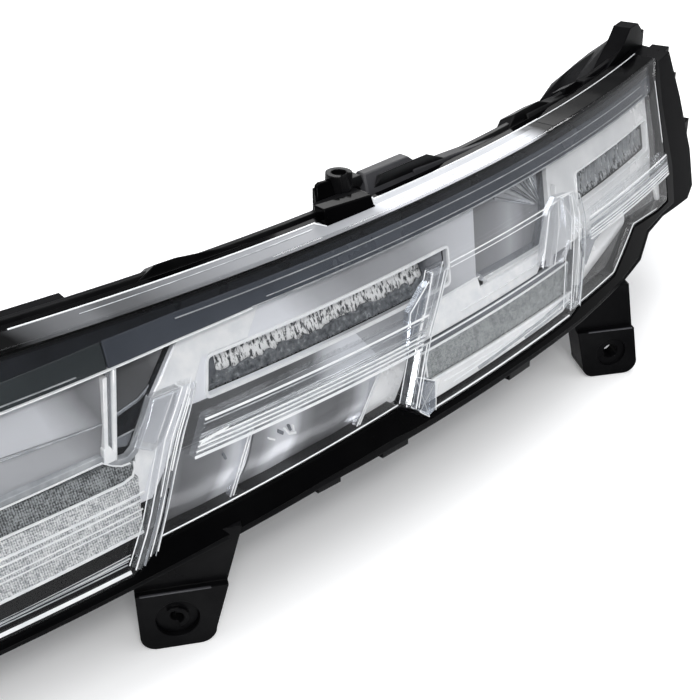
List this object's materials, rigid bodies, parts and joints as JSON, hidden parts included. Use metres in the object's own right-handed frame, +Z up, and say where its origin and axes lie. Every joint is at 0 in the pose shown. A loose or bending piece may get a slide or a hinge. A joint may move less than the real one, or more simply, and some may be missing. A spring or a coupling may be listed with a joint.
{
  "type": "daytime running light",
  "caption": "Wide swept lamp unit for a car's front: clear lens with slanting crystal slabs and bars over bright bezels, light guides and reflectors, on a black housing with mounting legs.",
  "frame": {"origin": "centre of the top mounting boss's mouth", "axes": "+X outboard along the lamp's sweep at the boss, -Y the way the lens faces, +Z up"},
  "size_m": [0.5178, 0.1272, 0.1343],
  "materials": {
    "black_plastic": "fine moulded texture, satin",
    "clear_lens": "clear, polished",
    "seal": "matte",
    "dark_band": "gloss",
    "satin_silver": "metallised, satin",
    "bright_chrome": "metallised, mirror bright",
    "gloss_black": "gloss",
    "clear_optic": "clear, polished",
    "board_green": "satin solder mask",
    "led_white": "satin",
    "screw_steel": "zinc plated",
    "cast_aluminium": "as cast",
    "part_black": "satin",
    "contact_brass": "plated",
    "vent_rubber": "matte"
  },
  "bodies": {
    "root": {"housing": "black_plastic", "outer_lens": "clear_lens", "lens_seal": "seal", "top_band": "dark_band", "bezel_left": "satin_silver", "bezel": "satin_silver", "pocket_panel": "gloss_black", "pocket_reflector": "bright_chrome", "reflector_mid": "bright_chrome", "reflector_outer": "bright_chrome", "guide_left": "clear_optic", "guide_right": "clear_optic", "flute_mid": "clear_optic", "flute_outer": "clear_optic", "board_low_left": "board_green", "board_mid": "board_green", "board_low_right": "board_green", "board_outer": "board_green", "leds_low_left": "led_white", "leds_mid": "led_white", "leds_low_right": "led_white", "leds_outer": "led_white", "board_screws": "screw_steel", "heat_sink": "cast_aluminium", "sink_screws": "screw_steel", "driver_board": "board_green", "driver_parts": "part_black", "driver_cover": "black_plastic", "cover_screws": "screw_steel", "connector_socket": "black_plastic", "connector_screws": "screw_steel", "connector_pins": "contact_brass", "vent_cap": "vent_rubber", "leg_clip": "black_plastic"}
  },
  "joints": []
}
